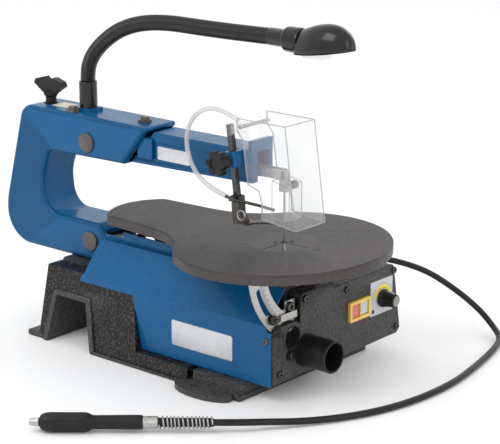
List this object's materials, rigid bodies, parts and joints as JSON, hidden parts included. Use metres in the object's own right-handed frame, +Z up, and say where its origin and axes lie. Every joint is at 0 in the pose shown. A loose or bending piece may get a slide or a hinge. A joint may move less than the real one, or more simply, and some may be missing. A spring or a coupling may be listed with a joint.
{
  "type": "scroll saw",
  "caption": "Bench scroll saw: C-frame with parallel rocker arms, tilting table, blade guard, work lamp, dust port and a flexible shaft with a hand grip.",
  "frame": {"origin": "on the bench directly under the blade, at the base's underside", "axes": "+X to the operator's right, +Y to the rear along the throat, +Z up"},
  "size_m": [0.6573, 0.6701, 0.468],
  "materials": {
    "cast_black": "hammered black enamel",
    "panel_black": "hammered black enamel",
    "blue_paint": "gloss blue enamel",
    "table_iron": "ground and coated grey iron",
    "steel": "bright steel",
    "dark_steel": "blackened steel",
    "cap_metal": "grey brown satin",
    "black_plastic": "fine moulded grain",
    "gloss_black": "gloss",
    "clear_plastic": "clear polycarbonate",
    "rubber": "smooth rubber",
    "yellow_plastic": "gloss yellow",
    "red_plastic": "gloss red",
    "green_plastic": "pale green white gloss",
    "aluminium": "cast aluminium",
    "bulb_glass": "frosted"
  },
  "bodies": {
    "frame": {"base_casting": "cast_black", "front_panel": "panel_black", "left_cover": "blue_paint", "right_cover": "blue_paint", "frame_left_shell": "blue_paint", "frame_right_shell": "blue_paint", "arm_casing": "blue_paint", "dust_port": "black_plastic", "panel_screws": "dark_steel", "cover_screws": "cap_metal", "bevel_clamp": "steel", "trunnion_cradles": "cast_black", "upper_pivot_pin": "steel", "lower_pivot_pin": "steel", "pivot_caps": "cap_metal", "motor_housing": "panel_black", "motor_stator": "dark_steel", "motor_end_cap": "black_plastic", "air_bellows": "rubber", "guard_pivot_pin": "steel", "guard_hinge": "clear_plastic", "lamp_stem": "gloss_black", "switch_frame": "yellow_plastic", "top_clips": "cap_metal", "shaft_union": "steel", "flex_shaft": "rubber", "spring_relief": "dark_steel", "handpiece_grip": "black_plastic"},
    "collet": {"collet_nut": "steel"},
    "lamp": {"lamp_neck": "gloss_black", "lamp_shade": "gloss_black", "lamp_bulb": "bulb_glass"},
    "table": {"table": "table_iron", "table_insert": "table_iron", "bevel_arc": "steel", "trunnion_sectors": "table_iron"},
    "bevel_lock": {"bevel_lock_knob": "dark_steel"},
    "upper_rocker": {"upper_rocker": "aluminium", "upper_clamp_pin": "steel"},
    "lower_rocker": {"lower_rocker": "aluminium", "lower_clamp_pin": "steel"},
    "blade": {"blade": "steel", "upper_blade_clamp": "steel", "lower_blade_clamp": "steel", "clamp_screws": "dark_steel"},
    "tension_rod": {"tension_rod": "steel"},
    "tension_knob": {"tension_knob": "black_plastic"},
    "crank": {"motor_rotor": "steel", "eccentric": "steel"},
    "connecting_rod": {"connecting_rod": "aluminium"},
    "hold_down": {"hold_down_bar": "dark_steel", "hold_down_foot": "dark_steel", "hose_clamp": "clear_plastic", "air_hose": "clear_plastic", "air_nozzle": "dark_steel"},
    "hold_down_knob": {"hold_down_knob": "black_plastic"},
    "guard": {"blade_guard": "clear_plastic"},
    "stop_button": {"stop_button": "red_plastic"},
    "start_button": {"start_button": "green_plastic"},
    "speed_knob": {"speed_knob": "gloss_black"}
  },
  "joints": [
    {"name": "table_tilt", "type": "hinge", "parent": "frame", "child": "table", "pos_m": [0, 0, 0.184], "axis": [0, -1, 0], "range_deg": [0, 25]},
    {"name": "upper_rocker_swing", "type": "hinge", "parent": "frame", "child": "upper_rocker", "pos_m": [0, 0.3188, 0.269], "axis": [1, 0, 0], "range_deg": [-1.5, 1.5]},
    {"name": "lower_rocker_swing", "type": "hinge", "parent": "frame", "child": "lower_rocker", "pos_m": [0, 0.3157, 0.1314], "axis": [1, 0, 0], "range_deg": [-1.5, 1.5]},
    {"name": "blade_holder_swing", "type": "hinge", "parent": "upper_rocker", "child": "blade", "pos_m": [0, 0.014, 0.272], "axis": [1, 0, 0], "range_deg": [-1.5, 1.5]},
    {"name": "tension_rod_swing", "type": "hinge", "parent": "upper_rocker", "child": "tension_rod", "pos_m": [0, 0.42, 0.272], "axis": [1, 0, 0], "range_deg": [-1.5, 1.5]},
    {"name": "tension_knob_turn", "type": "hinge", "parent": "tension_rod", "child": "tension_knob", "pos_m": [0, 0.42, 0.322], "axis": [0, 0, 1], "continuous": true},
    {"name": "motor_spin", "type": "hinge", "parent": "frame", "child": "crank", "pos_m": [0.1, 0.048, 0.104], "axis": [1, 0, 0], "continuous": true},
    {"name": "connecting_rod_swing", "type": "hinge", "parent": "crank", "child": "connecting_rod", "pos_m": [0.0166, 0.0544, 0.104], "axis": [1, 0, 0], "continuous": true},
    {"name": "hold_down_slide", "type": "slide", "parent": "frame", "child": "hold_down", "axis": [0, 0.1323, 0.9912], "range_m": [-0.02, 0.008]},
    {"name": "hold_down_knob_turn", "type": "hinge", "parent": "frame", "child": "hold_down_knob", "pos_m": [-0.06, 0.0538, 0.29], "axis": [1, 0, 0], "continuous": true},
    {"name": "bevel_lock_turn", "type": "hinge", "parent": "frame", "child": "bevel_lock", "pos_m": [-0.07294, -0.0435, 0.10847], "axis": [0, 1, 0], "continuous": true},
    {"name": "guard_flip", "type": "hinge", "parent": "frame", "child": "guard", "pos_m": [0, 0.05, 0.33], "axis": [-1, 0, 0], "range_deg": [0, 80]},
    {"name": "lamp_swivel", "type": "hinge", "parent": "frame", "child": "lamp", "pos_m": [0, 0.346, 0.346], "axis": [0, 0, 1], "range_deg": [-90, 90]},
    {"name": "stop_press", "type": "slide", "parent": "frame", "child": "stop_button", "axis": [0, 1, 0], "range_m": [0, 0.0025], "stiffness_N_per_m": 400},
    {"name": "start_press", "type": "slide", "parent": "frame", "child": "start_button", "axis": [0, 1, 0], "range_m": [0, 0.0025], "stiffness_N_per_m": 400},
    {"name": "speed_turn", "type": "hinge", "parent": "frame", "child": "speed_knob", "pos_m": [0.146, -0.05, 0.084], "axis": [0, -1, 0], "range_deg": [-140, 140]},
    {"name": "collet_spin", "type": "hinge", "parent": "frame", "child": "collet", "pos_m": [-0.32393, 0.1094, 0.0121], "axis": [-0.6433, 0.7656, 0], "continuous": true}
  ],
  "couplings": [
    {"joint": "lower_rocker_swing", "follows": "upper_rocker_swing", "ratio": 1},
    {"joint": "blade_holder_swing", "follows": "upper_rocker_swing", "ratio": -1},
    {"joint": "tension_rod_swing", "follows": "upper_rocker_swing", "ratio": -1},
    {"joint": "connecting_rod_swing", "follows": "motor_spin", "ratio": -1}
  ]
}
